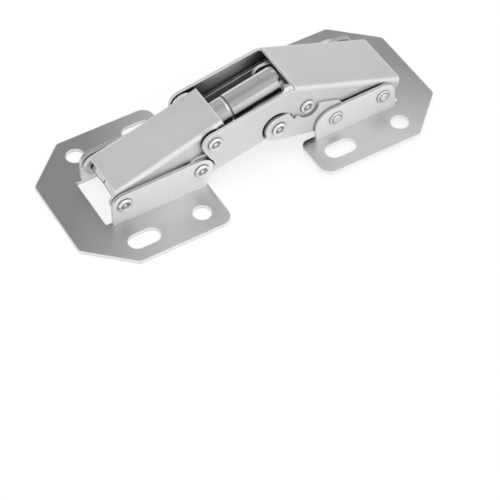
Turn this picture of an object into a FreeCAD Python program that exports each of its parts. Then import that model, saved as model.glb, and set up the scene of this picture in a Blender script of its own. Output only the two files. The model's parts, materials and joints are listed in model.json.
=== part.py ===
# Surface-mounted folding door hinge with a soft-close damper, built from riveted sheet-metal links.
# Frame: X runs along the open hinge from the cabinet base to the door base, Y along the pivot pins,
# Z up from the mounting surface. The origin is the middle of the cabinet base's screw pattern,
# on its underside. All lengths are in millimetres and the hinge is drawn fully open.
import FreeCAD, Part
import math
import os
import Sketcher
from FreeCAD import Rotation, Vector

doc = FreeCAD.newDocument("folding_hinge")
sheet = doc.addObject("Spreadsheet::Sheet", "sizes")

SIZES = {
    # sheet metal
    "base_gauge": 1.0, "channel_gauge": 0.9, "link_gauge": 0.9, "bend_radius": 1.5,
    "base_bend_radius": 0.6, "layer_gap": 0.05, "arm_half": 7.9,
    # pivot pins, seen from the side
    "arm_foot_x": -9.0, "arm_foot_z": 7.0, "link_foot_x": 14.9, "link_foot_z": 7.4,
    "knee_x": 19.3, "knee_z": 15.6, "toggle_x": 39.1, "toggle_z": 11.9,
    "crossing_x": 48.7, "crossing_z": 15.0, "door_link_x": 57.3, "door_link_z": 7.6,
    "door_foot_x": 73.1, "door_foot_z": 8.1, "trunnion_x": 42.5, "trunnion_z": 18.7,
    # rivets
    "pin_radius": 1.5, "pin_clearance": 0.05, "head_radius": 2.3, "head_height": 0.8,
    "tail_radius": 1.95, "tail_height": 0.55, "shoulder_radius": 2.1, "washer_radius": 2.7,
    # base plates
    "base_width": 50.0, "base_nose_half": 13.4, "base_taper": 12.5, "base_corner": 3.6,
    "nose_corner": 1.8, "door_inner_corner": 2.4,
    "cabinet_outer_x": -25.1, "cabinet_inner_x": 16.7, "cabinet_window_x": -14.6,
    "door_outer_x": 89.8, "door_inner_x": 45.9, "door_window_x": 79.6, "door_base_z": 1.6,
    "screw_x": 10.1, "screw_y": 18.3, "screw_radius": 2.65, "slot_length": 9.6,
    "cabinet_slot_outer_x": -7.8, "cabinet_slot_inner_x": 9.8, "door_pattern_x": 64.7,
    # ears on the base plates
    "ear_end_radius": 3.7, "cabinet_ear_left_x": -12.8, "cabinet_ear_right_x": 16.1,
    "door_ear_left_x": 50.8, "door_ear_right_x": 77.5, "door_ear_shoulder": 5.2,
    # arm channel
    "arm_web_offset": 3.7, "arm_foot_radius": 3.35, "arm_end_radius": 3.9, "arm_web_start": -0.5,
    "arm_web_length": 35.0, "arm_belly_x": 3.0, "arm_belly_z": 5.0, "arm_leg": 1.5, "corner_radius": 0.6,
    # cover channel
    "knee_lobe": 3.7, "cover_heel_x": 20.0, "cover_heel_z": 7.5, "cover_toe_x": 33.6,
    "cover_toe_z": 8.8, "cover_web_start_x": 45.1, "cover_web_start_z": 23.8,
    "cover_web_end_x": 80.2, "cover_web_end_z": 10.1, "cover_leg": 3.0, "cover_shoulder_x": 43.9,
    "cover_shoulder_z": 22.7, "crossing_lobe": 5.0, "door_lobe": 4.0,
    "toggle_notch": 4.9, "heel_relief": 4.2, "door_link_relief": 2.7,
    # links
    "inner_link_end": 4.3, "outer_link_end": 4.2, "crossing_relief": 3.4,
    "outer_link_hump_x": 53.5, "outer_link_hump_z": 14.1, "outer_link_tip_x": 58.5,
    "outer_link_tip_z": 12.4, "outer_link_cut_x": 44.0, "outer_link_cut_z": 13.0,
    # damper
    "barrel_radius": 4.2, "sleeve_radius": 4.05, "bore_radius": 3.4, "damper_tail": 3.0,
    "damper_front": 25.2, "damper_seam": 14.1, "end_wall": 0.9, "rod_radius": 1.2,
    "piston_radius": 3.3, "piston_length": 1.2, "rod_reach": 29.63, "pad_radius": 2.1,
    "pad_height": 0.7, "trunnion_radius": 1.3, "trunnion_stand": 0.5, "bracket_in": 4.6,
    "bracket_gauge": 0.9, "bracket_end": 2.6, "bracket_rear_x": 56.0,
}
for row, (alias, value) in enumerate(SIZES.items(), start=1):
    sheet.set(f"A{row}", alias)
    sheet.set(f"B{row}", str(value))
    sheet.setAlias(f"B{row}", alias)
doc.recompute()


class Size:
    """A length that knows both its expression for the document and its present value."""

    def __init__(self, text, value):
        self.text = text
        self.value = float(value)

    @staticmethod
    def of(other):
        return other if isinstance(other, Size) else Size(repr(other), other)

    def _with(self, other, sign, value):
        return Size(f"({self.text} {sign} {other.text})", value)

    def __add__(self, other):
        other = Size.of(other)
        return self._with(other, "+", self.value + other.value)

    def __sub__(self, other):
        other = Size.of(other)
        return self._with(other, "-", self.value - other.value)

    def __mul__(self, other):
        other = Size.of(other)
        return self._with(other, "*", self.value * other.value)

    def __truediv__(self, other):
        other = Size.of(other)
        return self._with(other, "/", self.value / other.value)

    def __neg__(self):
        return Size(f"(0 - {self.text})", -self.value)

    def root(self):
        return Size(f"sqrt({self.text})", math.sqrt(self.value))


def size(alias):
    return Size(f"sizes.{alias}", sheet.get(alias))


def point(name):
    return size(name + "_x"), size(name + "_z")


ARM_FOOT = point("arm_foot")
LINK_FOOT = point("link_foot")
KNEE = point("knee")
TOGGLE = point("toggle")
CROSSING = point("crossing")
DOOR_LINK = point("door_link")
DOOR_FOOT = point("door_foot")
TRUNNION = point("trunnion")

# Half distances from the hinge's middle plane to each layer of sheet, from the inside out.
GAP = size("layer_gap")
ARM_OUT = size("arm_half")
ARM_IN = ARM_OUT - size("channel_gauge")
INNER_LINK_IN = ARM_OUT + GAP
INNER_LINK_OUT = INNER_LINK_IN + size("link_gauge")
COVER_IN = INNER_LINK_OUT + GAP
COVER_OUT = COVER_IN + size("channel_gauge")
CABINET_EAR_IN = COVER_IN
CABINET_EAR_OUT = CABINET_EAR_IN + size("base_gauge")
OUTER_LINK_IN = COVER_OUT + GAP
OUTER_LINK_OUT = OUTER_LINK_IN + size("link_gauge")
DOOR_EAR_IN = OUTER_LINK_OUT + GAP
DOOR_EAR_OUT = DOOR_EAR_IN + size("base_gauge")
PIN = size("pin_radius")
PIN_HOLE = PIN + size("pin_clearance")
SIDES = {"near": 1, "far": -1}


def new_body(name):
    body = doc.addObject("PartDesign::Body", name)
    body.Label = name
    return body


def plane_of(body, role):
    return next(item for item in body.Origin.OriginFeatures if item.Role == role)


def new_sketch(body, name, role="XZ_Plane", offset=None):
    """A sketch on one of the body's own planes. On XZ_Plane a positive offset is towards -Y."""
    sketch = body.newObject("Sketcher::SketchObject", f"{body.Name}_{name}")
    sketch.AttachmentSupport = [(plane_of(body, role), "")]
    sketch.MapMode = "FlatFace"
    if offset is not None:
        sketch.AttachmentOffset = FreeCAD.Placement(Vector(0, 0, offset.value), Rotation())
        sketch.setExpression("AttachmentOffset.Base.z", offset.text)
    return sketch


def bind(sketch, kind, *args):
    """Adds a dimension whose last argument is a Size and ties it to the sheet."""
    *places, length = args
    index = sketch.addConstraint(Sketcher.Constraint(kind, *places, length.value))
    sketch.setExpression(f"Constraints[{index}]", length.text)


def pin_point(sketch, geometry, position, place):
    bind(sketch, "DistanceX", -1, 1, geometry, position, place[0])
    bind(sketch, "DistanceY", -1, 1, geometry, position, place[1])


def draw_polygon(sketch, places):
    count = len(places)
    vectors = [Vector(x.value, z.value, 0) for x, z in places]
    first = sketch.GeometryCount
    for index in range(count):
        sketch.addGeometry(Part.LineSegment(vectors[index], vectors[(index + 1) % count]), False)
    for index in range(count):
        following = (index + 1) % count
        sketch.addConstraint(Sketcher.Constraint("Coincident", first + index, 2, first + following, 1))
    for index in range(count):
        pin_point(sketch, first + index, 1, places[index])


def draw_circle(sketch, centre, radius):
    circle = Part.Circle(Vector(centre[0].value, centre[1].value, 0), Vector(0, 0, 1), radius.value)
    index = sketch.addGeometry(circle, False)
    pin_point(sketch, index, 3, centre)
    bind(sketch, "Radius", index, radius)


def draw_strap(sketch, rounds):
    """A strap drawn tight around circles, given anticlockwise as (centre, radius)."""
    count = len(rounds)
    centres = [Vector(c[0].value, c[1].value, 0) for c, r in rounds]
    radii = [r.value for c, r in rounds]
    outward = []
    for index in range(count):
        following = (index + 1) % count
        span = centres[following] - centres[index]
        along = Vector(span).normalize()
        right = Vector(along.y, -along.x, 0)
        lean = (radii[index] - radii[following]) / span.Length
        outward.append(along * lean + right * math.sqrt(1 - lean * lean))
    for index in range(count):
        start = math.atan2(outward[index - 1].y, outward[index - 1].x)
        end = math.atan2(outward[index].y, outward[index].x)
        if end <= start:
            end += 2 * math.pi
        circle = Part.Circle(centres[index], Vector(0, 0, 1), radii[index])
        sketch.addGeometry(Part.ArcOfCircle(circle, start, end), False)
    for index in range(count):
        following = (index + 1) % count
        normal = outward[index]
        begin = centres[index] + normal * radii[index]
        finish = centres[following] + normal * radii[following]
        sketch.addGeometry(Part.LineSegment(begin, finish), False)
    for index in range(count):
        line = count + index
        sketch.addConstraint(Sketcher.Constraint("Tangent", index, 2, line, 1))
        sketch.addConstraint(Sketcher.Constraint("Tangent", line, 2, (index + 1) % count, 1))
    for index, (centre, radius) in enumerate(rounds):
        pin_point(sketch, index, 3, centre)
        bind(sketch, "Radius", index, radius)


def pad(body, sketch, length, midplane=False):
    feature = body.newObject("PartDesign::Pad", sketch.Name + "_pad")
    feature.Profile = sketch
    feature.Midplane = midplane
    feature.Length = length.value
    feature.setExpression("Length", length.text)
    sketch.Visibility = False
    return feature


def pocket_through(body, sketch, width):
    """Cuts the sketch's shape out over a band of the given width about the sketch's plane."""
    doc.recompute()
    before = body.Shape.Volume
    feature = body.newObject("PartDesign::Pocket", sketch.Name + "_cut")
    feature.Profile = sketch
    feature.Midplane = True
    feature.Length = width.value
    feature.setExpression("Length", width.text)
    doc.recompute()
    if body.Shape.Volume >= before - 1e-6:
        raise ValueError(f"{sketch.Name} cuts nothing")
    return feature


def fillet_edges(body, radius, wanted, name):
    """Rounds the edges of the body's tip for which wanted(edge) is true."""
    doc.recompute()
    base = body.Tip
    names = [f"Edge{i}" for i, edge in enumerate(base.Shape.Edges, start=1) if wanted(edge)]
    if not names:
        raise ValueError(f"no edge to round for {name}")
    feature = body.newObject("PartDesign::Fillet", name)
    feature.Base = (base, names)
    feature.Radius = radius.value
    feature.setExpression("Radius", radius.text)
    doc.recompute()
    return feature


def edge_ends(edge):
    return [vertex.Point for vertex in edge.Vertexes]


def is_along_x(edge, y, z):
    ends = edge_ends(edge)
    return len(ends) == 2 and all(abs(abs(p.y) - y) < 1e-4 and abs(p.z - z) < 1e-4 for p in ends)


def is_upright_at(edge, x, y):
    ends = edge_ends(edge)
    if len(ends) != 2 or abs(ends[0].z - ends[1].z) < 1e-4:
        return False
    return all(abs(p.x - x) < 1e-4 and abs(abs(p.y) - y) < 1e-4 for p in ends)


def drill(body, places, radius, width, name="pin_holes"):
    """Round holes along Y through everything in the given width about the middle plane."""
    sketch = new_sketch(body, name)
    for place in places:
        draw_circle(sketch, place, radius)
    pocket_through(body, sketch, width)


def side_offset(side, inner, outer):
    """Where a sketch must stand so that a pad towards -Y fills the layer on that side."""
    return inner if side == "near" else -outer


def base_plate(name, outer_x, inner_x, window_x, floor_z, ear_in, ear_rounds, direction, inner_corner):
    """A base stamped from one sheet: two wings, a bridge at the outer end, and two ears bent up."""
    body = new_body(name)
    half = size("base_width") / 2
    taper_x = outer_x + size("base_taper") * direction
    nose = size("base_nose_half")
    gauge = size("base_gauge")
    ear_out = ear_in + gauge
    lower = [(outer_x, -nose), (taper_x, -half), (inner_x, -half), (inner_x, -ear_in), (window_x, -ear_in)]
    upper = [(x, -y) for x, y in reversed(lower)]
    outline = new_sketch(body, "outline", "XY_Plane", floor_z)
    draw_polygon(outline, lower + upper)
    pad(body, outline, gauge)
    fillet_edges(body, size("base_corner"),
                 lambda e: is_upright_at(e, inner_x.value, half.value), name + "_wing_corners")
    fillet_edges(body, size("nose_corner"),
                 lambda e: is_upright_at(e, outer_x.value, nose.value)
                 or is_upright_at(e, taper_x.value, half.value), name + "_nose_corners")
    if inner_corner:
        fillet_edges(body, inner_corner,
                     lambda e: is_upright_at(e, inner_x.value, ear_in.value), name + "_inner_corners")
    for side in SIDES:
        ear = new_sketch(body, side + "_ear", offset=side_offset(side, ear_in, ear_out))
        draw_strap(ear, ear_rounds)
        pad(body, ear, gauge)
    top = floor_z + gauge
    fillet_edges(body, size("base_bend_radius"),
                 lambda e: is_along_x(e, ear_out.value, top.value) and e.Length > 20, name + "_bends")
    return body


def screw_holes(body, rounds, slots, floor_z):
    """Round screw holes and slots along X, cut straight through the wings."""
    sketch = new_sketch(body, "screw_holes", "XY_Plane", floor_z)
    radius = size("screw_radius")
    for place in rounds:
        draw_circle(sketch, place, radius)
    reach = size("slot_length") / 2 - radius
    for centre_x, centre_y in slots:
        corner = [(centre_x - reach, centre_y - radius), (centre_x + reach, centre_y - radius),
                  (centre_x + reach, centre_y + radius), (centre_x - reach, centre_y + radius)]
        first = sketch.GeometryCount
        for end, sign in ((corner[1], 1), (corner[3], -1)):
            middle = Vector(end[0].value, centre_y.value, 0)
            start = -math.pi / 2 if sign > 0 else math.pi / 2
            circle = Part.Circle(middle, Vector(0, 0, 1), radius.value)
            sketch.addGeometry(Part.ArcOfCircle(circle, start, start + math.pi), False)
        points = [Vector(x.value, y.value, 0) for x, y in corner]
        sketch.addGeometry(Part.LineSegment(points[0], points[1]), False)
        sketch.addGeometry(Part.LineSegment(points[2], points[3]), False)
        right, left, bottom, top = first, first + 1, first + 2, first + 3
        for one, one_end, two, two_end in ((bottom, 2, right, 1), (right, 2, top, 1),
                                           (top, 2, left, 1), (left, 2, bottom, 1)):
            sketch.addConstraint(Sketcher.Constraint("Tangent", one, one_end, two, two_end))
        pin_point(sketch, right, 3, (centre_x + reach, centre_y))
        pin_point(sketch, left, 3, (centre_x - reach, centre_y))
        bind(sketch, "Radius", right, radius)
    pocket_through(body, sketch, size("base_gauge") * 4)


def cabinet_base():
    corner = size("corner_radius")
    floor_z = size("base_gauge") * 0
    end = size("ear_end_radius")
    rounds = [((size("cabinet_ear_left_x") + corner, corner), corner),
              ((size("cabinet_ear_right_x") - corner, corner), corner),
              (LINK_FOOT, end), (ARM_FOOT, end)]
    body = base_plate("cabinet_base", size("cabinet_outer_x"), size("cabinet_inner_x"),
                      size("cabinet_window_x"), floor_z, CABINET_EAR_IN, rounds, 1, None)
    screw_x, screw_y = size("screw_x"), size("screw_y")
    screw_holes(body, [(-screw_x, screw_y), (screw_x, -screw_y)],
                [(size("cabinet_slot_outer_x"), -screw_y), (size("cabinet_slot_inner_x"), screw_y)], floor_z)
    drill(body, [ARM_FOOT, LINK_FOOT], PIN_HOLE, CABINET_EAR_OUT * 3)


def door_base():
    corner = size("corner_radius")
    floor_z = size("door_base_z")
    shoulder = size("door_ear_shoulder")
    end = size("ear_end_radius") + 0.3
    left, right = size("door_ear_left_x"), size("door_ear_right_x")
    top = DOOR_LINK[1] + end
    rounds = [((left + corner, floor_z + corner), corner),
              ((right - corner, floor_z + corner), corner),
              (DOOR_FOOT, end),
              ((left + shoulder, top - shoulder), shoulder)]
    body = base_plate("door_base", size("door_outer_x"), size("door_inner_x"), size("door_window_x"),
                      floor_z, DOOR_EAR_IN, rounds, -1, size("door_inner_corner"))
    middle = size("door_pattern_x")
    screw_x, screw_y = size("screw_x"), size("screw_y")
    screw_holes(body, [(middle + screw_x, -screw_y), (middle - screw_x, screw_y)],
                [(middle - size("cabinet_slot_inner_x"), -screw_y),
                 (middle - size("cabinet_slot_outer_x"), screw_y)], floor_z)
    drill(body, [DOOR_LINK, DOOR_FOOT], PIN_HOLE, DOOR_EAR_OUT * 3)


def line_height(start, end, offset, x):
    """Height at x of the line through two places, moved square to itself by offset (up is plus)."""
    run = end[0] - start[0]
    rise = end[1] - start[1]
    length = (run * run + rise * rise).root()
    return start[1] + rise * (x - start[0]) / run + offset * length / run


def bent_section(body, start, end, begin, length, top, half, leg):
    """A U-bent sheet drawn in section and pulled along the line from start to end."""
    run, rise = end[0] - start[0], end[1] - start[1]
    span = (run * run + rise * rise).root()
    place = (start[0] + run / span * begin, start[1] + rise / span * begin)
    sketch = new_sketch(body, "section", "YZ_Plane")
    tilt = Rotation(Vector(1, 0, 0), -math.degrees(math.atan2(rise.value, run.value)))
    sketch.AttachmentOffset = FreeCAD.Placement(Vector(0, place[1].value, place[0].value), tilt)
    sketch.setExpression("AttachmentOffset.Base.y", place[1].text)
    sketch.setExpression("AttachmentOffset.Base.z", place[0].text)
    sketch.setExpression("AttachmentOffset.Rotation.Angle", f"0 deg - atan2({rise.text}; {run.text})")
    gauge, bend = size("channel_gauge"), size("bend_radius")
    centre_y, centre_z = half - bend, top - bend
    quarter = math.pi / 2
    arcs = [(centre_y, bend, 0), (-centre_y, bend, quarter),
            (-centre_y, bend - gauge, quarter), (centre_y, bend - gauge, 0)]
    for across, radius, angle in arcs:
        circle = Part.Circle(Vector(across.value, centre_z.value, 0), Vector(0, 0, 1), radius.value)
        sketch.addGeometry(Part.ArcOfCircle(circle, angle, angle + quarter), False)
    out, inn, high, low = half.value, (half - gauge).value, centre_z.value, -leg.value
    ends = [((out, low), (out, high)), ((centre_y.value, top.value), (-centre_y.value, top.value)),
            ((-out, high), (-out, low)), ((-out, low), (-inn, low)), ((-inn, low), (-inn, high)),
            ((-centre_y.value, (top - gauge).value), (centre_y.value, (top - gauge).value)),
            ((inn, high), (inn, low)), ((inn, low), (out, low))]
    for first, second in ends:
        sketch.addGeometry(Part.LineSegment(Vector(*first, 0), Vector(*second, 0)), False)
    joins = [(4, 2, 0, 1), (0, 2, 5, 1), (5, 2, 1, 1), (1, 2, 6, 1),
             (8, 2, 2, 2), (2, 1, 9, 1), (9, 2, 3, 2), (3, 1, 10, 1)]
    for one, one_end, two, two_end in joins:
        sketch.addConstraint(Sketcher.Constraint("Tangent", one, one_end, two, two_end))
    for one, one_end, two, two_end in ((6, 2, 7, 1), (7, 2, 8, 1), (10, 2, 11, 1), (11, 2, 4, 1)):
        sketch.addConstraint(Sketcher.Constraint("Coincident", one, one_end, two, two_end))
    for index, (across, radius, angle) in enumerate(arcs):
        pin_point(sketch, index, 3, (across, centre_z))
        bind(sketch, "Radius", index, radius)
    for line, across in ((7, -half), (11, half - gauge)):
        pin_point(sketch, line, 1, (across, -leg))
    for line in (7, 11):
        sketch.addConstraint(Sketcher.Constraint("Horizontal", line))
    pad(body, sketch, length)


def arm_channel():
    """The long arm on the cabinet side: a U channel with its web on top, pivoted at its foot."""
    body = new_body("arm_channel")
    corner = size("corner_radius")
    bent_section(body, ARM_FOOT, KNEE, size("arm_web_start"), size("arm_web_length"),
                 size("arm_web_offset"), ARM_OUT, size("arm_leg"))
    for side in SIDES:
        wall = new_sketch(body, side + "_wall", offset=side_offset(side, ARM_IN, ARM_OUT))
        draw_strap(wall, [(ARM_FOOT, size("arm_foot_radius")),
                          ((size("arm_belly_x"), size("arm_belly_z")), corner),
                          (KNEE, size("arm_end_radius") * 0.6 - corner * 0.5)])
        pad(body, wall, size("channel_gauge"))
        knee = new_sketch(body, side + "_knee", offset=side_offset(side, ARM_IN, ARM_OUT))
        draw_circle(knee, KNEE, size("arm_end_radius"))
        pad(body, knee, size("channel_gauge"))
    drill(body, [ARM_FOOT, KNEE], PIN_HOLE, ARM_OUT * 3)


def cover_channel():
    """The cover: a wide U channel over the crossing, with two long cheeks that reach the knee."""
    body = new_body("cover_channel")
    corner = size("corner_radius")
    start = (size("cover_web_start_x"), size("cover_web_start_z"))
    end = (size("cover_web_end_x"), size("cover_web_end_z"))
    run, rise = end[0] - start[0], end[1] - start[1]
    zero = run * 0
    bent_section(body, start, end, zero, (run * run + rise * rise).root(), zero, COVER_OUT, size("cover_leg"))
    depth = size("bend_radius") + corner
    shoulder = (size("cover_shoulder_x"), size("cover_shoulder_z"))
    bridge = (CROSSING[0] - size("crossing_lobe") + corner, CROSSING[1] + corner * 2)
    front = (start[0] + corner * 0.5, line_height(start, end, -depth, start[0]))
    back_x = end[0] - corner * 2
    for side in SIDES:
        cheek = new_sketch(body, side + "_cheek", offset=side_offset(side, COVER_IN, COVER_OUT))
        draw_strap(cheek, [(KNEE, size("knee_lobe")),
                           ((size("cover_heel_x"), size("cover_heel_z")), corner),
                           ((size("cover_toe_x"), size("cover_toe_z")), corner),
                           (bridge, corner), (front, corner), (shoulder, corner)])
        pad(body, cheek, size("channel_gauge"))
        hood = new_sketch(body, side + "_hood", offset=side_offset(side, COVER_IN, COVER_OUT))
        draw_strap(hood, [(CROSSING, size("crossing_lobe")), (DOOR_FOOT, size("door_lobe")),
                          ((back_x, line_height(start, end, -depth, back_x)), corner), (front, corner)])
        pad(body, hood, size("channel_gauge"))
    drill(body, [TOGGLE], size("toggle_notch"), COVER_OUT * 3, "toggle_notch")
    drill(body, [DOOR_LINK], size("door_link_relief"), COVER_OUT * 3, "door_link_relief")
    drill(body, [LINK_FOOT], size("heel_relief"), COVER_OUT * 3, "heel_relief")
    drill(body, [KNEE, CROSSING, DOOR_FOOT], PIN_HOLE, COVER_OUT * 3)


def inner_link(side):
    """The straight inner link from the cabinet base to the crossing pin."""
    body = new_body("inner_link_" + side)
    sketch = new_sketch(body, "outline", offset=side_offset(side, INNER_LINK_IN, INNER_LINK_OUT))
    end = size("inner_link_end")
    draw_strap(sketch, [(LINK_FOOT, end), (CROSSING, end)])
    pad(body, sketch, size("link_gauge"))
    drill(body, [LINK_FOOT, TOGGLE, CROSSING], PIN_HOLE, COVER_OUT * 3)


def outer_link(side):
    """The short outer link to the door base, relieved around the crossing rivet's head."""
    body = new_body("outer_link_" + side)
    corner = size("corner_radius")
    sketch = new_sketch(body, "outline", offset=side_offset(side, OUTER_LINK_IN, OUTER_LINK_OUT))
    end = size("outer_link_end")
    hump = point("outer_link_hump")
    draw_strap(sketch, [(TOGGLE, end), (DOOR_LINK, end), (point("outer_link_tip"), corner), (hump, corner)])
    pad(body, sketch, size("link_gauge"))
    relief = new_sketch(body, "relief_side")
    cut = point("outer_link_cut")
    above = hump[1] + end
    draw_polygon(relief, [(TOGGLE[0] + end / 2, above), cut, CROSSING, (hump[0], above)])
    pocket_through(body, relief, DOOR_EAR_OUT * 3)
    drill(body, [CROSSING], size("crossing_relief"), DOOR_EAR_OUT * 3, "crossing_relief")
    drill(body, [TOGGLE, DOOR_LINK], PIN_HOLE, DOOR_EAR_OUT * 3)


def turned(name, profile, centre, face, side):
    """A turned piece from its half profile of (radius, height); heights run outwards from the face."""
    body = new_body(name)
    sketch = new_sketch(body, "profile")
    draw_polygon(sketch, profile)
    feature = body.newObject("PartDesign::Revolution", name + "_turned")
    feature.Profile = sketch
    feature.ReferenceAxis = (sketch, ["V_Axis"])
    feature.Angle = 360
    sign = SIDES[side]
    body.Placement = FreeCAD.Placement(Vector(centre[0].value, -sign * face.value, centre[1].value),
                                       Rotation(Vector(1, 0, 0), 90 * sign))
    body.setExpression("Placement.Base.x", centre[0].text)
    body.setExpression("Placement.Base.y", (face * -sign).text)
    body.setExpression("Placement.Base.z", centre[1].text)
    return body


def head_profile():
    """A flat peened head, from its centre outwards and down to the shank."""
    radius, height = size("head_radius"), size("head_height")
    zero = height * 0
    return [(zero, height), (radius * 0.68, height), (radius, height * 0.45), (radius, zero), (PIN, zero)]


def rivet(name, centre, side, face, far_face, shoulder=None):
    """A rivet headed outside at face and set inside at far_face, both counted from the middle plane."""
    zero = face * 0
    depth = face - far_face
    tail, thick = size("tail_radius"), size("tail_height")
    profile = head_profile()
    if shoulder:
        outer, inner = face - shoulder[0], face - shoulder[1]
        wide = size("shoulder_radius")
        profile += [(PIN, -outer), (wide, -outer), (wide, -inner), (PIN, -inner)]
    profile += [(PIN, -depth), (tail, -depth), (tail, -depth - thick), (zero, -depth - thick)]
    return turned(name, profile, centre, face, side)


def half_rivet(name, centre, side, face, end, shoulder=None):
    """The outer half of a rivet: its head and the shank down to end, wider from shoulder on."""
    zero = face * 0
    depth = face - end
    wide = size("shoulder_radius")
    neck = [(PIN, shoulder - face), (wide, shoulder - face), (wide, -depth)] if shoulder else [(PIN, -depth)]
    return turned(name, head_profile() + neck + [(zero, -depth)], centre, face, side)


def rivet_tail(name, centre, side, face, inner):
    """The inner half of the same rivet: its shank through one wall, set on the inside."""
    zero = face * 0
    depth = face - inner
    tail, thick = size("tail_radius"), size("tail_height")
    profile = [(zero, zero), (PIN, zero), (PIN, -depth), (tail, -depth), (tail, -depth - thick),
               (zero, -depth - thick)]
    return turned(name, profile, centre, face, side)


def washer(name, centre, side, inner, outer):
    body = new_body(name)
    sketch = new_sketch(body, "ring", offset=side_offset(side, inner, outer))
    draw_circle(sketch, centre, size("washer_radius"))
    draw_circle(sketch, centre, PIN_HOLE)
    pad(body, sketch, outer - inner)


def foot_axle():
    """The through axle at the arm's foot, headed on both ears and shouldered between ear and arm."""
    length = CABINET_EAR_OUT * 2
    wide = size("shoulder_radius")
    outer, inner = INNER_LINK_OUT - CABINET_EAR_OUT, INNER_LINK_IN - CABINET_EAR_OUT
    half = head_profile() + [(PIN, outer), (wide, outer), (wide, inner), (PIN, inner)]
    mirrored = [(r, -length - z) for r, z in reversed(half)]
    turned("foot_axle", half + mirrored, ARM_FOOT, CABINET_EAR_OUT, "near")


def damper_axis():
    """Unit run, unit rise and length of the line from the foot axle to the trunnion."""
    run = TRUNNION[0] - ARM_FOOT[0]
    rise = TRUNNION[1] - ARM_FOOT[1]
    return run, rise, (run * run + rise * rise).root()


def damper_piece(name, profile):
    """A turned damper piece; heights in its profile run from the trunnion away from the foot axle."""
    body = new_body(name)
    sketch = new_sketch(body, "profile")
    draw_polygon(sketch, profile)
    feature = body.newObject("PartDesign::Revolution", name + "_turned")
    feature.Profile = sketch
    feature.ReferenceAxis = (sketch, ["V_Axis"])
    feature.Angle = 360
    run, rise, length = damper_axis()
    tilt = 90 - math.degrees(math.atan2(rise.value, run.value))
    body.Placement = FreeCAD.Placement(Vector(TRUNNION[0].value, 0, TRUNNION[1].value),
                                       Rotation(Vector(0, 1, 0), tilt))
    body.setExpression("Placement.Base.x", TRUNNION[0].text)
    body.setExpression("Placement.Base.z", TRUNNION[1].text)
    body.setExpression("Placement.Rotation.Angle", f"90 deg - atan2({rise.text}; {run.text})")
    return body


def damper():
    zero = PIN * 0
    outer, sleeve, bore = size("barrel_radius"), size("sleeve_radius"), size("bore_radius")
    tail, seam, front = size("damper_tail"), size("damper_seam"), size("damper_front")
    wall, rod = size("end_wall"), size("rod_radius")
    barrel = damper_piece("damper_barrel", [
        (zero, tail), (outer * 0.6, tail), (outer * 0.9, tail - outer * 0.15), (outer, tail - outer * 0.4),
        (outer, -seam), (bore, -seam), (bore, tail - wall), (zero, tail - wall)])
    reach = size("bracket_in") + size("bracket_gauge") + size("trunnion_stand")
    begin = bore + wall * 0.4
    stub = new_sketch(barrel, "trunnion", offset=-reach)
    draw_circle(stub, (zero, zero), size("trunnion_radius"))
    pad(barrel, stub, reach - begin)
    damper_piece("damper_sleeve", [
        (bore, -seam), (sleeve, -seam), (sleeve, -front + wall * 0.5), (sleeve - wall * 0.5, -front),
        (rod + size("layer_gap"), -front), (rod + size("layer_gap"), -front + wall * 0.8),
        (bore, -front + wall * 0.8)])
    run, rise, span = damper_axis()
    reach = size("rod_reach")
    piston = size("piston_length")
    pad_face = PIN + size("layer_gap")
    pad_back = pad_face + size("pad_height")
    damper_piece("damper_rod", [
        (zero, pad_back - span), (rod, pad_back - span), (rod, reach - piston - span),
        (zero, reach - piston - span)])
    damper_piece("damper_piston", [
        (zero, reach - piston - span), (size("piston_radius"), reach - piston - span),
        (size("piston_radius"), reach - span), (zero, reach - span)])
    damper_piece("damper_foot_pad", [
        (zero, pad_face - span), (size("pad_radius"), pad_face - span),
        (size("pad_radius"), pad_back - span), (zero, pad_back - span)])


def damper_bracket():
    """A small angle welded under the cover's web; its far cheek carries the damper's trunnion."""
    body = new_body("damper_bracket")
    corner = size("corner_radius")
    gauge = size("bracket_gauge")
    start = (size("cover_web_start_x"), size("cover_web_start_z"))
    end = (size("cover_web_end_x"), size("cover_web_end_z"))
    under = -size("channel_gauge")
    front_x, rear_x = size("cover_web_start_x") + corner * 3, size("bracket_rear_x")
    outer = size("bracket_in") + gauge
    foot = new_sketch(body, "foot")
    draw_polygon(foot, [(front_x, line_height(start, end, under, front_x)),
                        (front_x, line_height(start, end, under - gauge, front_x)),
                        (rear_x, line_height(start, end, under - gauge, rear_x)),
                        (rear_x, line_height(start, end, under, rear_x))])
    pad(body, foot, outer * 2, midplane=True)
    cheek = new_sketch(body, "cheek", offset=-outer)
    inset = under - gauge * 0.5 - corner
    draw_strap(cheek, [(TRUNNION, size("bracket_end")),
                       ((rear_x - corner, line_height(start, end, inset, rear_x - corner)), corner),
                       ((front_x + corner, line_height(start, end, inset, front_x + corner)), corner)])
    pad(body, cheek, gauge)
    drill(body, [TRUNNION], size("trunnion_radius") + size("pin_clearance"), outer * 3)


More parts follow.
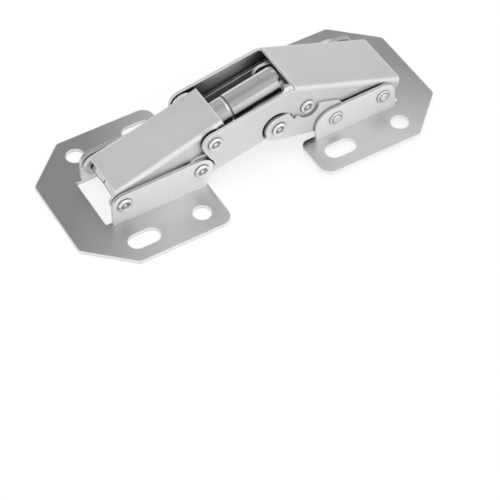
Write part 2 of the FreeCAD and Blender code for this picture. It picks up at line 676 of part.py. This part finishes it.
cabinet_base()
door_base()
arm_channel()
cover_channel()
foot_axle()
for side in SIDES:
    inner_link(side)
    outer_link(side)
    rivet("link_foot_rivet_" + side, LINK_FOOT, side, CABINET_EAR_OUT, INNER_LINK_IN - GAP)
    rivet("crossing_rivet_" + side, CROSSING, side, COVER_OUT, INNER_LINK_IN - GAP)
    rivet("toggle_rivet_" + side, TOGGLE, side, OUTER_LINK_OUT, INNER_LINK_IN - GAP,
          (OUTER_LINK_IN, COVER_IN))
    rivet("door_link_rivet_" + side, DOOR_LINK, side, DOOR_EAR_OUT, OUTER_LINK_IN - GAP)
    half_rivet("knee_rivet_" + side, KNEE, side, COVER_OUT, INNER_LINK_IN)
    rivet_tail("knee_rivet_tail_" + side, KNEE, side, ARM_OUT, ARM_IN)
    half_rivet("door_foot_rivet_" + side, DOOR_FOOT, side, DOOR_EAR_OUT, OUTER_LINK_IN, OUTER_LINK_OUT)
    rivet_tail("door_foot_rivet_tail_" + side, DOOR_FOOT, side, COVER_OUT, COVER_IN)
    washer("knee_washer_" + side, KNEE, side, INNER_LINK_IN, INNER_LINK_OUT)
damper_bracket()
damper()
doc.recompute()

for item in doc.Objects:
    if "Invalid" in item.State or "Error" in item.State:
        raise RuntimeError(f"{item.Name} is {item.State}")
os.makedirs("parts", exist_ok=True)
for body in doc.findObjects("PartDesign::Body"):
    if body.Shape.isNull() or not body.Shape.isValid() or not body.Shape.Solids:
        raise RuntimeError(f"{body.Label} has no valid solid")
    body.Shape.exportStep(os.path.join("parts", body.Label + ".step"))
    print(body.Label, len(body.Shape.Solids), round(body.Shape.Volume, 2))
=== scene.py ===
"""Looks for a surface-mounted folding cabinet hinge in satin nickel-plated sheet steel.

The CAD sheets, links and damper get their finishes here, and turned heads, shanks and set ends
take the place of the plain CAD rivets. Lengths are in metres; a number times MM is millimetres.
"""

import json
import math

import bmesh
import bpy
from mathutils import Matrix, Vector


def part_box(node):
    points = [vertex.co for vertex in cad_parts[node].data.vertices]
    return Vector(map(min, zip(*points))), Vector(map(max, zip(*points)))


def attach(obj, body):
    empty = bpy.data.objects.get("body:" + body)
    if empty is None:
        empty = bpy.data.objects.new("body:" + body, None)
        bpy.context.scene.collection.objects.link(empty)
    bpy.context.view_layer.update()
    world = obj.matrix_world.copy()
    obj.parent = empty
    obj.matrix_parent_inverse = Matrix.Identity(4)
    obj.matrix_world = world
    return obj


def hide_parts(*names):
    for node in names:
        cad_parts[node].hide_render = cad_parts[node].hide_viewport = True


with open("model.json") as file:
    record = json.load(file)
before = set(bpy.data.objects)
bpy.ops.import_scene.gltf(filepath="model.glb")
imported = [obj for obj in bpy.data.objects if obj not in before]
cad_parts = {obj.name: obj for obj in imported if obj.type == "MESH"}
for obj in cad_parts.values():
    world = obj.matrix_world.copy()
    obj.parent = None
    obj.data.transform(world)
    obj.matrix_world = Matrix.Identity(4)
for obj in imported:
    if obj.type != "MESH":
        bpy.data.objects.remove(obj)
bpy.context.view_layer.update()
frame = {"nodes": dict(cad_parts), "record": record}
MM = 0.001


# ---- Node building ----


class Nodes:
    """A short hand for building one node tree."""

    def __init__(self, tree):
        self.tree = tree

    def add(self, kind, inputs=None, **settings):
        node = self.tree.nodes.new(kind)
        for key, value in settings.items():
            setattr(node, key, value)
        for key, value in (inputs or {}).items():
            self.feed(node.inputs[key], value)
        return node

    def feed(self, socket, value):
        """Links a socket to another one's value, or sets it to a plain value."""
        if isinstance(value, bpy.types.NodeSocket):
            self.tree.links.new(value, socket)
        else:
            socket.default_value = value

    def math(self, operation, first, second=0.0):
        node = self.add("ShaderNodeMath", {0: first, 1: second}, operation=operation)
        return node.outputs["Value"]

    def ramp(self, factor, span, values=(0.0, 1.0)):
        """A value that runs over values while factor runs over span, and stays inside them."""
        node = self.add("ShaderNodeMapRange", {
            "Value": factor, "From Min": span[0], "From Max": span[1],
            "To Min": values[0], "To Max": values[1]})
        return node.outputs["Result"]

    def split(self, vector):
        return self.add("ShaderNodeSeparateXYZ", {"Vector": vector}).outputs


EVEN = (1.0, 1.0, 1.0)


class Finish(Nodes):
    """One material's nodes, with the sums that every finish here uses."""

    def __init__(self, name):
        self.material = bpy.data.materials.new(name)
        self.material.use_nodes = True
        super().__init__(self.material.node_tree)
        self.tree.nodes.clear()
        self.output = self.add("ShaderNodeOutputMaterial")

    def noise(self, vector, scale, detail=3.0, roughness=0.55, stretch=EVEN):
        mapping = self.add("ShaderNodeMapping", {"Vector": vector, "Scale": stretch})
        node = self.add("ShaderNodeTexNoise", {
            "Vector": mapping.outputs["Vector"], "Scale": scale,
            "Detail": detail, "Roughness": roughness})
        return node.outputs["Fac"]

    def mix(self, factor, first, second):
        # The Mix node has a set of sockets for each data type; these are its colour ones.
        node = self.add("ShaderNodeMix", {0: factor, 6: first, 7: second}, data_type="RGBA")
        return node.outputs[2]

    def show(self, shader):
        self.tree.links.new(shader, self.output.inputs["Surface"])
        return self.material


def grey(value, warmth=0.0):
    return (value + warmth, value, value - warmth, 1.0)


# ---- Plated steel ----

# Tones
WARMTH = 0.003
# Painted shade, under the cover and in joints
PAINTED_SHADE = grey(0.03, 0.001)
# Painted light on upright walls
PAINTED_WALL_LIGHT = grey(0.93, WARMTH)
# Painted highlight on edges
EDGE_HIGHLIGHT = grey(0.95, 0.001)
# Painted highlight, for the tube's lines and the seam's bead
GLINT = grey(0.95)
# Painted shade on the tube's underside
TUBE_PAINTED_SHADE = grey(0.10)
GROOVE_SHADE = grey(0.05)

# Grain and roughness
PATCH_SCALE, ROLLING_SCALE, SPECK_SCALE = 70.0, 900.0, 2600.0
PATCH_SPAN, GRAIN_SPAN = (0.3, 0.7), (0.35, 0.65)
GRAIN_SHARE, GRAIN_GAIN, LIGHTEST = 0.12, 1.12, 0.95
ROUGHNESS_DRIFT, SPECK_ROUGHNESS = 0.1, 0.03
BARE_ROUGHNESS, BARE_METALLIC = 0.35, 0.1
GRAIN_RELIEF, GRAIN_DEPTH, ROLLING_SHARE = 0.05, 0.12 * MM, 0.6

# The bases' painted shade, darker towards their ends and the rear
HINGE_MIDDLE = 32.0 * MM
DOOR_END_SHARE, REAR_SHARE = 0.9, 0.7
OUTER_SPAN = (18.0 * MM, 52.0 * MM)

# Painted light on upright walls and painted shade under the cover, by their normals and their
# share of open air
STANDING_SPAN = (0.7, 0.1)
TURNED_SPAN = (-0.3, -0.8)
COVER_DEPTH = 22.0 * MM
UNDER_COVER_SPAN, DEEP_SPAN = (0.68, 0.46), (0.46, 0.30)
SHADE_SPAN_FROM_FOOT, SHADE_AT_FOOT = (5.0 * MM, 14.0 * MM), 0.15

# The damper's painted reflections, by its tube's normal, and its seam's painted highlight and
# shade, by the place along the damper
FLANK_SPAN = (0.0, -0.35)
UNDERSIDE_SPAN, UNDERSIDE_SHARE = (-0.95, -0.98), 0.7
LINE_SPANS = ((-0.68, -0.78), (-0.975, -0.93))
CREST_SPAN = (0.34, 0.42)
DAMPER_LINE = Vector((51.5, 0.0, 11.7)).normalized()
TRUNNION = Vector((42.5, 0.0, 18.7))
TRUNNION_TO_SEAM = 14.1 * MM
SEAM_PLACE = DAMPER_LINE.dot(TRUNNION) * MM - TRUNNION_TO_SEAM
# Where the seam's painted highlight and painted shade lie, and how wide
BEAD_PLACE, BEAD_SPAN, BEAD_SHARE = -0.32 * MM, (0.42 * MM, 0.18 * MM), 0.8
GROOVE_PLACE, GROOVE_SPAN, GROOVE_SHARE = 0.15 * MM, (0.34 * MM, 0.14 * MM), 0.9

# Edges, with their painted highlight, by how far the rounded normal turns from the flat one
EDGE_REACH = 2.2
EDGE_SPAN = (0.998, 0.93)
AIR_SAMPLES, JOINT_SAMPLES, EDGE_SAMPLES = 16, 8, 6


class Plating(Finish):
    """The layers that lie over each other on pressed and plated steel, painted light and shade
    among them.
    """

    def __init__(self, name, grain):
        super().__init__(name)
        own = self.add("ShaderNodeTexCoord").outputs
        self.place = own["Object"]
        self.spot = self.split(own["Object"])
        self.facing = self.split(own["Normal"])
        self.patches = self.noise(self.place, PATCH_SCALE, detail=4.0)
        self.rolling = self.noise(self.place, ROLLING_SCALE, roughness=0.6, stretch=grain)
        self.specks = self.noise(self.place, SPECK_SCALE, detail=2.0, roughness=0.7)

    def sheet(self, light, dark):
        """Dull patches, with the rolling grain over them."""
        tone = self.mix(self.ramp(self.patches, PATCH_SPAN), grey(dark, WARMTH),
                        grey(light, WARMTH))
        return self.mix(self.ramp(self.rolling, GRAIN_SPAN, (0.0, GRAIN_SHARE)), tone,
                        grey(min(light * GRAIN_GAIN, LIGHTEST), WARMTH))

    def towards_ends(self):
        """Grows from the hinge's middle to its two ends, and to the rear, where shade is painted.
        """
        beyond = self.math("SUBTRACT", self.spot["X"], HINGE_MIDDLE)
        out = self.math("MAXIMUM", self.math("MULTIPLY", beyond, -1.0),
                        self.math("MULTIPLY", beyond, DOOR_END_SHARE))
        out = self.math("ADD", out, self.math("MULTIPLY", self.spot["Y"], REAR_SHARE))
        return self.ramp(out, OUTER_SPAN)

    def under_cover(self, inside):
        """Painted shade on faces turned to the middle plane or down, where they are closed in,
        and on all that lies deep. Near the arm's foot, which is open, little of it is left."""
        inward = self.math("MULTIPLY", self.facing["Y"], self.math("SIGN", self.spot["Y"]))
        turned = self.math("MAXIMUM", self.ramp(inward, TURNED_SPAN),
                           self.ramp(self.facing["Z"], TURNED_SPAN))
        open_air = self.add("ShaderNodeAmbientOcclusion", {"Distance": COVER_DEPTH},
                            samples=AIR_SAMPLES).outputs["AO"]
        closed_in = self.math("MULTIPLY", turned, self.ramp(open_air, UNDER_COVER_SPAN))
        closed_in = self.math("MAXIMUM", closed_in, self.ramp(open_air, DEEP_SPAN))
        reached = self.ramp(self.spot["X"], SHADE_SPAN_FROM_FOOT, (SHADE_AT_FOOT * inside, inside))
        return self.math("MULTIPLY", closed_in, reached)

    def tube(self, tone, flank):
        """Painted reflections on a polished tube: a grey front flank, a dark underside of painted
        shade, and painted highlight lines.
        """
        side = self.facing["Y"]
        tone = self.mix(self.ramp(side, FLANK_SPAN), tone, grey(flank))
        tone = self.mix(self.ramp(side, UNDERSIDE_SPAN, (0.0, UNDERSIDE_SHARE)), tone,
                        TUBE_PAINTED_SHADE)
        line = self.math("MINIMUM", *(self.ramp(side, span) for span in LINE_SPANS))
        glints = self.math("MAXIMUM", line, self.ramp(side, CREST_SPAN))
        return self.mix(glints, tone, GLINT), glints

    def seam(self, tone):
        """A painted highlight for a bead and painted shade for a groove, where the damper's
        sleeve meets its barrel.
        """
        along = self.add("ShaderNodeVectorMath", {0: self.place, 1: DAMPER_LINE},
                         operation="DOT_PRODUCT").outputs["Value"]
        along = self.math("SUBTRACT", along, SEAM_PLACE)
        for place, span, share, shade in (
                (BEAD_PLACE, BEAD_SPAN, BEAD_SHARE, GLINT),
                (GROOVE_PLACE, GROOVE_SPAN, GROOVE_SHARE, GROOVE_SHADE)):
            off = self.math("ABSOLUTE", self.math("SUBTRACT", along, place))
            tone = self.mix(self.ramp(off, span, (0.0, share)), tone, shade)
        return tone

    def in_joints(self, reach, hollow, seams):
        """Painted shade in joints: grows where less and less open air is left within reach."""
        air = self.add("ShaderNodeAmbientOcclusion", {"Distance": reach * MM},
                       samples=JOINT_SAMPLES).outputs["AO"]
        return self.ramp(air, hollow, (0.0, seams))

    def rounded(self, radius):
        """The surface's normal with its edges rounded."""
        return self.add("ShaderNodeBevel", {"Radius": radius},
                        samples=EDGE_SAMPLES).outputs["Normal"]

    def worn_edges_with_highlight(self, soften, edge):
        """Grows towards the edges, where the rounded normal turns from the flat one: a painted
        highlight there, and bare plating.
        """
        flat = self.add("ShaderNodeNewGeometry").outputs["Normal"]
        turn = self.add("ShaderNodeVectorMath", {0: self.rounded(EDGE_REACH * soften * MM),
                                                 1: flat}, operation="DOT_PRODUCT")
        return self.ramp(turn.outputs["Value"], EDGE_SPAN, (0.0, edge))

    def roughness(self, middle, bare):
        """Uneven roughness about a middle value, rougher where the plating is bare."""
        drift = self.ramp(self.patches, PATCH_SPAN, (middle * (1.0 - ROUGHNESS_DRIFT),
                                                     middle * (1.0 + ROUGHNESS_DRIFT)))
        fine = self.ramp(self.specks, GRAIN_SPAN, (-SPECK_ROUGHNESS, SPECK_ROUGHNESS))
        return self.math("ADD", self.math("ADD", drift, fine),
                         self.math("MULTIPLY", bare, BARE_ROUGHNESS))

    def relief(self, soften):
        """Softened edges with the grain standing on them."""
        height = self.math("ADD", self.math("MULTIPLY", self.rolling, ROLLING_SHARE),
                           self.math("MULTIPLY", self.specks, 1.0 - ROLLING_SHARE))
        node = self.add("ShaderNodeBump", {
            "Strength": GRAIN_RELIEF, "Distance": GRAIN_DEPTH, "Height": height,
            "Normal": self.rounded(soften * MM)})
        return node.outputs["Normal"]


def plated_metal(name, light, dark, roughness, grain=EVEN, edge=0.6, soften=0.2, upright=0.0,
                 matt=0.0, inside=0.0, seams=0.85, hollow=(0.82, 0.45), reach=1.1, flank=0.0,
                 outer_end=1.0):
    """Satin nickel plating on pressed steel, from its lightest and darkest tone and roughness,
    with painted light and shade laid over it.

    grain       stretch of the rolling grain
    edge        how far cut edges get a painted highlight and bare plating, over the width that soften sets
    soften      radius of the softened edges, in millimetres
    upright     how far walls that stand up are painted lighter, as painted light
    matt        how far the plating on such walls is frosted
    inside      how dark the painted shade on the faces under the cover is
    seams       how dark the painted shade in joints is, over the shares of open air in hollow, measured
                over reach millimetres
    flank       the grey of the painted reflection on a tube's front flank; with it come the tube's
                painted dark underside, painted highlight lines and painted seam
    outer_end   what is left of the tone at the hinge's two ends, under the painted shade
    """
    make = Plating(name, grain)
    tone = make.sheet(light, dark)
    # Painted shade towards the bases' ends and the rear
    if outer_end < 1.0:
        tone = make.mix(make.towards_ends(), tone, grey(dark * outer_end, WARMTH))
    standing = make.ramp(make.math("ABSOLUTE", make.facing["Z"]), STANDING_SPAN)
    if upright:
        # Painted light on walls that stand up
        tone = make.mix(make.math("MULTIPLY", standing, upright), tone, PAINTED_WALL_LIGHT)
    if inside:
        # Painted shade under the cover
        tone = make.mix(make.under_cover(inside), tone, PAINTED_SHADE)
    glints = 0.0
    # Painted reflections on a tube, and the seam's painted highlight and shade
    if flank:
        tone, glints = make.tube(tone, flank)
        tone = make.seam(tone)
    # Painted shade in joints and hollows
    tone = make.mix(make.in_joints(reach, hollow, seams), tone, PAINTED_SHADE)
    bright_worn_edges = make.worn_edges_with_highlight(soften, edge)
    # Painted highlight on the edges
    tone = make.mix(bright_worn_edges, tone, EDGE_HIGHLIGHT)
    bare = make.math("MAXIMUM", make.math("MAXIMUM", bright_worn_edges, glints),
                     make.math("MULTIPLY", standing, matt))
    shader = make.add("ShaderNodeBsdfPrincipled", {
        "Base Color": tone, "Roughness": make.roughness(roughness, bare),
        "Metallic": make.ramp(bare, (0.0, 1.0), (1.0, BARE_METALLIC)),
        "Normal": make.relief(soften)})
    return make.show(shader.outputs["BSDF"])


PLASTIC_SCALE, PLASTIC_RELIEF, PLASTIC_DEPTH = 1500.0, 0.1, 0.1 * MM
PLASTIC_TONES, PLASTIC_ROUGHNESS = (0.03, 0.05), (0.5, 0.65)


def piston_plastic(name):
    """Black moulded plastic with a faint grain."""
    make = Finish(name)
    place = make.add("ShaderNodeTexCoord").outputs["Object"]
    grain = make.noise(place, PLASTIC_SCALE)
    relief = make.add("ShaderNodeBump", {
        "Strength": PLASTIC_RELIEF, "Distance": PLASTIC_DEPTH, "Height": grain})
    shader = make.add("ShaderNodeBsdfPrincipled", {
        "Base Color": make.mix(grain, *(grey(tone) for tone in PLASTIC_TONES)),
        "Roughness": make.ramp(grain, PATCH_SPAN, PLASTIC_ROUGHNESS),
        "Normal": relief.outputs["Normal"]})
    return make.show(shader.outputs["BSDF"])


ALONG, AROUND = (0.12, 1.0, 1.0), (1.0, 0.1, 1.0)
PLATED = {
    "base_steel": dict(
        light=0.65, dark=0.60, roughness=0.36, grain=ALONG, upright=0.95, matt=0.52,
        outer_end=0.53),
    "channel_steel": dict(
        light=0.75, dark=0.69, roughness=0.36, grain=ALONG, edge=0.95, soften=0.27, matt=0.55,
        inside=0.98, seams=0.4, hollow=(0.62, 0.35)),
    "link_steel": dict(
        light=0.73, dark=0.67, roughness=0.34, grain=ALONG, edge=0.8, upright=0.25, matt=0.5,
        inside=0.98),
    "rivet_steel": dict(
        light=0.88, dark=0.76, roughness=0.20, edge=0.2, soften=0.06, seams=0.95,
        hollow=(0.93, 0.68), reach=1.3),
    "damper_shell": dict(
        light=0.56, dark=0.52, roughness=0.24, grain=AROUND, edge=0.3, inside=0.9, flank=0.34),
    "damper_collar": dict(
        light=0.58, dark=0.54, roughness=0.26, grain=AROUND, edge=0.3, flank=0.36),
    "rod_steel": dict(light=0.66, dark=0.62, roughness=0.12, grain=ALONG),
}
finishes = {name: plated_metal(name, **looks) for name, looks in PLATED.items()}
finishes["piston_plastic"] = piston_plastic("piston_plastic")
for part in frame["record"]["subparts"]:
    skin = frame["nodes"][part["node"]].data.materials
    skin.clear()
    skin.append(finishes[part["material_slot"]])


# ---- Rivets ----

DOUBLES = 1e-7


def as_piece(name, mesh, body, slot, nodes):
    """A finished piece at the origin, riding on its body and standing for the CAD nodes named."""
    mesh.name = name
    mesh.materials.clear()
    mesh.materials.append(finishes[slot])
    piece = bpy.data.objects.new(name, mesh)
    bpy.context.scene.collection.objects.link(piece)
    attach(piece, body)
    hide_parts(*nodes)


def applied(name, mesh, modify):
    """The mesh that modify(object) leaves, with no modifier on it."""
    trial = bpy.data.objects.new(name, mesh)
    bpy.context.scene.collection.objects.link(trial)
    modify(trial)
    view = bpy.context.evaluated_depsgraph_get()
    made = bpy.data.meshes.new_from_object(trial.evaluated_get(view))
    bpy.data.objects.remove(trial)
    return made


def outward(mesh):
    """Merges doubles and points every face outwards."""
    form = bmesh.new()
    form.from_mesh(mesh)
    bmesh.ops.remove_doubles(form, verts=form.verts, dist=DOUBLES)
    bmesh.ops.recalc_face_normals(form, faces=form.faces)
    form.to_mesh(mesh)
    form.free()
    return mesh


# A profile's knots are (radius, height), from the crown's middle out to the rim and back under.
DIMPLED_PROFILE = [
    (0.0, 0.64), (0.2, 0.61), (0.32, 0.46), (0.4, 0.28), (0.5, 0.28), (0.57, 0.6), (0.63, 0.88),
    (0.69, 0.98), (0.76, 0.95), (0.84, 0.84), (0.9, 0.66), (0.95, 0.42), (0.99, 0.16),
    (1.0, 0.0), (0.0, 0.0)]
BUTTON_PROFILE = [
    (0.0, 0.98), (0.36, 0.97), (0.48, 0.9), (0.54, 0.72), (0.58, 0.46), (0.65, 0.42),
    (0.71, 0.56), (0.79, 0.58), (0.88, 0.5), (0.94, 0.36), (0.98, 0.18), (1.0, 0.0), (0.0, 0.0)]
STUD_PROFILE = [
    (0.0, 1.0), (0.6, 1.0), (0.85, 0.98), (0.93, 0.92), (0.98, 0.82), (1.0, 0.68), (1.0, 0.0),
    (0.0, 0.0)]
DIMPLED, STUD, BUTTON = 0, 1, 2
HEAD_SIDES, STUD_SIDES = 48, 32
WELD = 1e-4


def profile_curve(make, along, values):
    """A value that runs straight from one to the next while along runs from 0 to 1."""
    curve = make.add("ShaderNodeFloatCurve", {"Factor": 1.0, "Value": along})
    points = curve.mapping.curves[0].points
    while len(points) < len(values):
        points.new(0.5, 0.5)
    for index, value in enumerate(values):
        points[index].location = (index / (len(values) - 1), value)
        points[index].handle_type = "VECTOR"
    curve.mapping.update()
    return curve.outputs["Value"]


def turned_form(make, profile, sides):
    """Nodes for a closed turned form of unit radius and height, from a grid wrapped round its
    axis."""
    count = len(profile)
    grid = make.add("GeometryNodeMeshGrid", {
        "Size X": 1.0, "Size Y": 1.0, "Vertices X": sides + 1, "Vertices Y": count})
    spot = make.split(make.add("GeometryNodeInputPosition").outputs[0])
    along = make.math("ADD", spot["Y"], 0.5)
    angle = make.math("MULTIPLY", spot["X"], 2.0 * math.pi)
    radius, height = (profile_curve(make, along, [knot[place] for knot in profile])
                      for place in (0, 1))
    wrapped = make.add("ShaderNodeCombineXYZ", {
        "X": make.math("MULTIPLY", radius, make.math("COSINE", angle)),
        "Y": make.math("MULTIPLY", radius, make.math("SINE", angle)),
        "Z": height})
    turned = make.add("GeometryNodeSetPosition", {
        "Geometry": grid.outputs["Mesh"], "Position": wrapped.outputs[0]})
    sealed = make.add("GeometryNodeMergeByDistance", {
        "Geometry": turned.outputs[0], "Distance": WELD})
    return sealed.outputs[0]


def rivet_tree():
    """Heads and studs set on points, each turned along its point's axis. A head has the size
    given, a stud its point's own."""
    tree = bpy.data.node_groups.new("peened_rivets", "GeometryNodeTree")
    for name, direction, kind in (("Geometry", "INPUT", "NodeSocketGeometry"),
                                  ("Head Radius", "INPUT", "NodeSocketFloat"),
                                  ("Head Height", "INPUT", "NodeSocketFloat"),
                                  ("Finish", "INPUT", "NodeSocketMaterial"),
                                  ("Geometry", "OUTPUT", "NodeSocketGeometry")):
        tree.interface.new_socket(name=name, in_out=direction, socket_type=kind)
    make = Nodes(tree)
    given = make.add("NodeGroupInput").outputs
    result = make.add("NodeGroupOutput")

    def attribute(name, kind):
        node = make.add("GeometryNodeInputNamedAttribute", {"Name": name}, data_type=kind)
        return node.outputs["Attribute"]

    turn = make.add("FunctionNodeAlignRotationToVector",
                    {"Vector": attribute("axis", "FLOAT_VECTOR")}, axis="Z")
    style = attribute("style", "INT")
    head_size = make.add("ShaderNodeCombineXYZ", {
        "X": given["Head Radius"], "Y": given["Head Radius"],
        "Z": given["Head Height"]}).outputs[0]
    stud_size = attribute("size", "FLOAT_VECTOR")
    joined = make.add("GeometryNodeJoinGeometry")
    for kind, profile, sides, scale in ((STUD, STUD_PROFILE, STUD_SIDES, stud_size),
                                        (BUTTON, BUTTON_PROFILE, HEAD_SIDES, head_size),
                                        (DIMPLED, DIMPLED_PROFILE, HEAD_SIDES, head_size)):
        # Sockets 2 and 3 of Compare are its whole-number ones.
        chosen = make.add("FunctionNodeCompare", {2: style, 3: kind}, data_type="INT",
                          operation="EQUAL")
        placed = make.add("GeometryNodeInstanceOnPoints", {
            "Points": given["Geometry"], "Selection": chosen.outputs[0],
            "Instance": turned_form(make, profile, sides), "Rotation": turn.outputs[0],
            "Scale": scale})
        tree.links.new(placed.outputs[0], joined.inputs[0])
    real = make.add("GeometryNodeRealizeInstances", {"Geometry": joined.outputs[0]})
    dressed = make.add("GeometryNodeSetMaterial", {
        "Geometry": real.outputs[0], "Material": given["Finish"]})
    tree.links.new(dressed.outputs[0], result.inputs[0])
    return tree


PEENED = rivet_tree()

# The rivets' sizes, in millimetres.
HEAD_RADIUS, HEAD_HEIGHT, CAD_HEAD_HEIGHT = 2.3, 0.82, 0.8
SHANK_RADIUS, COLLAR_RADIUS = 1.5, 2.1
TAIL_RADIUS, TAIL_HEIGHT = 1.95, 0.55
OVERLAP = 0.1


def peened(name, body, rivets, head=DIMPLED):
    """One mesh of a body's rivets. Each rivet is (node, collar, has_tail): the node's box says
    where it is, collar is where its shoulder begins and ends, from the middle plane."""
    points, axes, sizes, styles = [], [], [], []

    def feature(place, axis, radius, length, style):
        points.append(place)
        axes.append(axis)
        sizes.append((radius * MM, radius * MM, length * MM))
        styles.append(style)

    for node, collar, has_tail in rivets:
        low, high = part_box(node)
        centre = Vector(((low[0] + high[0]) / 2, 0.0, (low[2] + high[2]) / 2))
        through = low[1] < 0.0 < high[1]
        ends = sorted(abs(value) / MM for value in (low[1], high[1]))
        inner = 0.0 if through else ends[0]
        seat = ends[1] - CAD_HEAD_HEIGHT
        root = seat + OVERLAP
        tip = inner + (OVERLAP if has_tail else 0.0)
        for side in (-1, 1) if through else (math.copysign(1, low[1]),):
            axis = Vector((0.0, side, 0.0))

            def at(distance):
                return centre + axis * distance * MM

            feature(at(seat), axis, HEAD_RADIUS, HEAD_HEIGHT, head)
            feature(at(root), -axis, SHANK_RADIUS, root - tip, STUD)
            if collar:
                feature(at(collar[0]), axis, COLLAR_RADIUS, collar[1] - collar[0], STUD)
            if has_tail:
                feature(at(inner + TAIL_HEIGHT), -axis, TAIL_RADIUS, TAIL_HEIGHT, STUD)
    cloud = bpy.data.meshes.new(name + "_places")
    cloud.from_pydata(points, [], [])
    for label, values in (("axis", axes), ("size", sizes)):
        layer = cloud.attributes.new(label, "FLOAT_VECTOR", "POINT")
        layer.data.foreach_set("vector", [number for value in values for number in value])
    cloud.attributes.new("style", "INT", "POINT").data.foreach_set("value", styles)
    inputs = {"Head Radius": HEAD_RADIUS * MM, "Head Height": HEAD_HEIGHT * MM,
              "Finish": finishes["rivet_steel"]}

    def modify(trial):
        step = trial.modifiers.new("rivets", "NODES")
        step.node_group = PEENED
        for item in PEENED.interface.items_tree:
            if item.in_out == "INPUT" and item.name in inputs:
                step[item.identifier] = inputs[item.name]

    mesh = outward(applied(name, cloud, modify))
    mesh.shade_smooth()
    as_piece(name, mesh, body, "rivet_steel", [rivet[0] for rivet in rivets])


def pair(name, collar=None, has_tail=True):
    return [(name + side, collar, has_tail) for side in ("_near", "_far")]


LINK_COLLAR, TOGGLE_COLLAR, DOOR_COLLAR = (7.95, 8.85), (8.9, 9.85), (9.85, 10.75)
peened("cabinet_rivets", "cabinet_side",
       [("foot_axle", LINK_COLLAR, False)] + pair("link_foot_rivet"))
peened("cover_rivets", "cover", pair("crossing_rivet") + pair("knee_rivet", has_tail=False))
peened("toggle_rivets", "inner_links", pair("toggle_rivet", TOGGLE_COLLAR))
peened("door_rivets", "door_side",
       pair("door_link_rivet") + pair("door_foot_rivet", DOOR_COLLAR, False), head=BUTTON)


# ---- Studio ----

FLOOR_REACH, FLOOR_HEIGHT = 3.0, -0.2 * MM
FLOOR_SHADE, FLOOR_ROUGHNESS, WHITE_SHARE = 0.86, 0.4, 0.66
GLOW_IN_METAL, GLOW_TO_CAMERA = 1.12, 1.14
SKY_SPAN, SKY_BEHIND, SKY_BEFORE = (0.30, -0.25), 0.72, 1.0


def unlit_white(name):
    """White to the camera and to reflections, and a matt floor under all other light. A share
    of the matt floor stays in view, so that the hinge keeps its shadow."""
    make = Finish(name)
    rays = make.add("ShaderNodeLightPath").outputs
    seen = make.math("MAXIMUM", rays["Is Camera Ray"], rays["Is Glossy Ray"])
    seen = make.math("MAXIMUM", seen, rays["Is Transmission Ray"])
    matt = make.add("ShaderNodeBsdfDiffuse", {
        "Color": grey(FLOOR_SHADE), "Roughness": FLOOR_ROUGHNESS})
    brightness = make.ramp(rays["Is Camera Ray"], (0.0, 1.0), (GLOW_IN_METAL, GLOW_TO_CAMERA))
    glow = make.add("ShaderNodeEmission", {"Color": grey(1.0), "Strength": brightness})
    blend = make.add("ShaderNodeMixShader", {
        0: make.math("MULTIPLY", seen, WHITE_SHARE), 1: matt.outputs["BSDF"],
        2: glow.outputs["Emission"]})
    return make.show(blend.outputs["Shader"])


corners = [(-1, -1), (1, -1), (1, 1), (-1, 1)]
board = bpy.data.meshes.new("floor")
board.from_pydata([(x * FLOOR_REACH, y * FLOOR_REACH, FLOOR_HEIGHT) for x, y in corners],
                  [], [(0, 1, 2, 3)])
board.materials.append(unlit_white("floor_white"))
floor = bpy.data.objects.new("floor", board)
bpy.context.scene.collection.objects.link(floor)

# The sky is a little dimmer behind the hinge than before it, and white to the camera.
world = bpy.data.worlds.new("studio")
bpy.context.scene.world = world
world.use_nodes = True
sky = Nodes(world.node_tree)
sky.tree.nodes.clear()
towards = sky.split(sky.add("ShaderNodeTexCoord").outputs["Generated"])
lit = sky.ramp(towards["Y"], SKY_SPAN, (SKY_BEHIND, SKY_BEFORE))
camera_sees = sky.add("ShaderNodeLightPath").outputs["Is Camera Ray"]
dome = sky.add("ShaderNodeBackground", {
    "Color": grey(1.0), "Strength": sky.math("MAXIMUM", lit, camera_sees)})
sky.tree.links.new(dome.outputs[0], sky.add("ShaderNodeOutputWorld").inputs["Surface"])

LAMP_TARGET = Vector((HINGE_MIDDLE, 0.0, 10.0 * MM))
LAMP_DISTANCE = 0.8


def softbox(name, direction, size, watts):
    """A square soft lamp, seen from the hinge's middle in the given direction."""
    lamp = bpy.data.lights.new(name, "AREA")
    lamp.shape = "RECTANGLE"
    lamp.size = size
    lamp.size_y = size
    lamp.energy = watts
    box = bpy.data.objects.new(name, lamp)
    bpy.context.scene.collection.objects.link(box)
    away = Vector(direction).normalized()
    place = LAMP_TARGET + away * LAMP_DISTANCE
    box.matrix_world = (Matrix.Translation(place)
                        @ away.to_track_quat("Z", "Y").to_matrix().to_4x4())


softbox("door_light", (0.5, 0.57, 0.65), 0.3, 0.1)
softbox("front_light", (0.33, -0.6, 0.7), 1.2, 1.2)

# The camera was calibrated on the bases and rivets. Its turn is an axis times an angle, and
# brings the frame's axes to the camera's right, down and forward.
CAMERA_PLACE = Vector((-0.144599, -0.302217, 0.369099))
CAMERA_TURN = Vector((2.3695, -0.6496, 0.2407))
FOCAL_PIXELS, FRAME_PIXELS, SENSOR = 1792.725, 500.0, 36.0
NEAREST_SEEN = 0.01
right, down, forward = Matrix.Rotation(CAMERA_TURN.length, 3, CAMERA_TURN.normalized())
camera_axes = Matrix((right, -down, -forward)).transposed()
lens = bpy.data.cameras.new("camera")
lens.sensor_width = SENSOR
lens.lens = SENSOR * FOCAL_PIXELS / FRAME_PIXELS
lens.clip_start = NEAREST_SEEN
camera = bpy.data.objects.new("camera", lens)
bpy.context.scene.collection.objects.link(camera)
camera.matrix_world = Matrix.Translation(CAMERA_PLACE) @ camera_axes.to_4x4()
bpy.context.scene.camera = camera
bpy.context.scene.view_settings.view_transform = "Standard"
